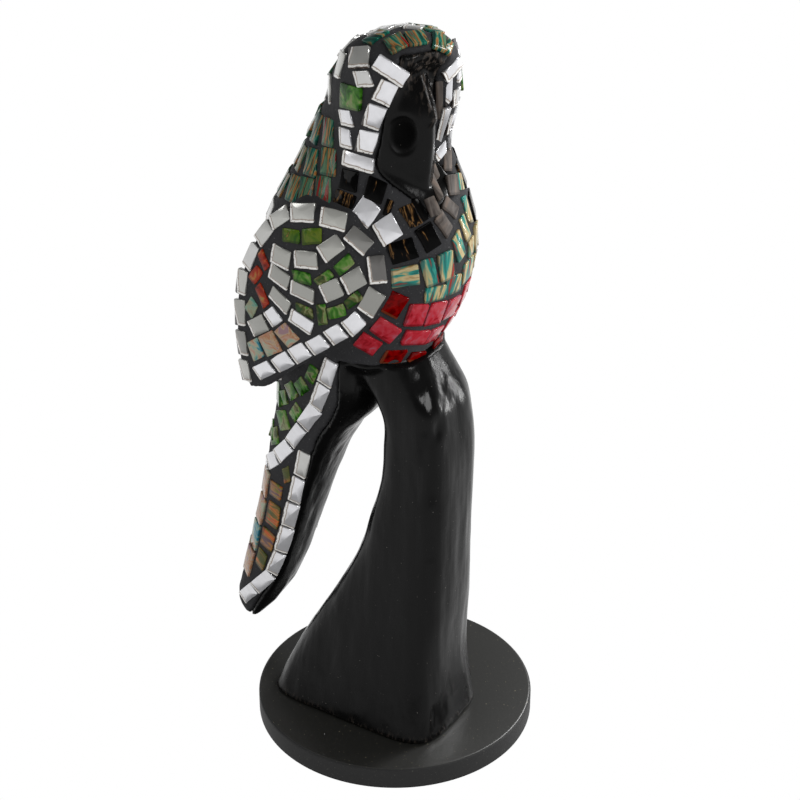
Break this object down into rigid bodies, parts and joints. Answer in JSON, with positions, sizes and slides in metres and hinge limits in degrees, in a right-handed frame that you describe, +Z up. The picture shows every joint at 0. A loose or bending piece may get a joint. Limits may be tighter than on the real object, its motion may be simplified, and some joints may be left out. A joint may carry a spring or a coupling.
{
  "type": "mosaic parrot figure",
  "caption": "Carved wooden parrot on a curved post and a round board, coated with hand-cut mirror and coloured glass mosaic; stands by its own weight.",
  "frame": {"origin": "centre of the base board's flat underside", "axes": "+Z up through the board's middle, the bird faces -Y and its left side is +X"},
  "size_m": [0.14, 0.1647, 0.3712],
  "materials": {
    "satin_board": "satin black paint",
    "black_lacquer": "brushed gloss black lacquer over carving marks, charcoal grout in the joints",
    "mirror_glass": "hand-cut silvered glass",
    "green_glass": "gloss, marbled",
    "red_glass": "gloss, seeded",
    "amber_glass": "gloss, streaked orange and brown",
    "pastel_glass": "gloss, clouded pink and turquoise",
    "turquoise_glass": "gloss, striped turquoise and cream",
    "bronze_glass": "gloss black with bronze streaks"
  },
  "bodies": {
    "root": {"base_board": "satin_board", "carved_bird": "black_lacquer", "right_wing_border": "mirror_glass", "right_wing_upper_green": "green_glass", "right_wing_upper_mirror": "mirror_glass", "right_wing_middle_green": "green_glass", "right_wing_middle_mirror": "mirror_glass", "right_wing_lower_green": "green_glass", "right_wing_lower_mirror": "mirror_glass", "right_wing_tip_mirror": "mirror_glass", "right_wing_rear_red": "amber_glass", "right_wing_tip_pastel": "pastel_glass", "left_wing_border": "mirror_glass", "left_wing_upper_green": "green_glass", "left_wing_upper_mirror": "mirror_glass", "left_wing_middle_green": "green_glass", "left_wing_middle_mirror": "mirror_glass", "left_wing_lower_green": "green_glass", "left_wing_lower_mirror": "mirror_glass", "left_wing_tip_mirror": "mirror_glass", "left_wing_rear_red": "amber_glass", "left_wing_tip_pastel": "pastel_glass", "tail_upper_mirror": "mirror_glass", "tail_right_mirror": "mirror_glass", "tail_left_mirror": "mirror_glass", "tail_upper_green": "green_glass", "tail_lower_green": "green_glass", "tail_right_amber": "amber_glass", "tail_left_amber": "amber_glass", "tail_back_pastel": "pastel_glass", "brow_band": "turquoise_glass", "crown_band": "turquoise_glass", "right_cheek_rim": "mirror_glass", "left_cheek_rim": "mirror_glass", "right_cheek_back": "mirror_glass", "left_cheek_back": "mirror_glass", "right_eye": "green_glass", "left_eye": "green_glass", "right_jowl": "mirror_glass", "left_jowl": "mirror_glass", "nape_upper": "mirror_glass", "nape_middle": "turquoise_glass", "nape_lower": "mirror_glass", "neck_upper": "turquoise_glass", "neck_middle": "turquoise_glass", "throat_black": "bronze_glass", "bib_black": "bronze_glass", "breast_turquoise": "turquoise_glass", "belly_red_upper": "red_glass", "belly_red_middle": "red_glass", "right_belly_red": "red_glass", "left_belly_red": "red_glass", "back_mirror": "mirror_glass", "back_green": "green_glass", "rump_mirror": "mirror_glass"}
  },
  "joints": []
}
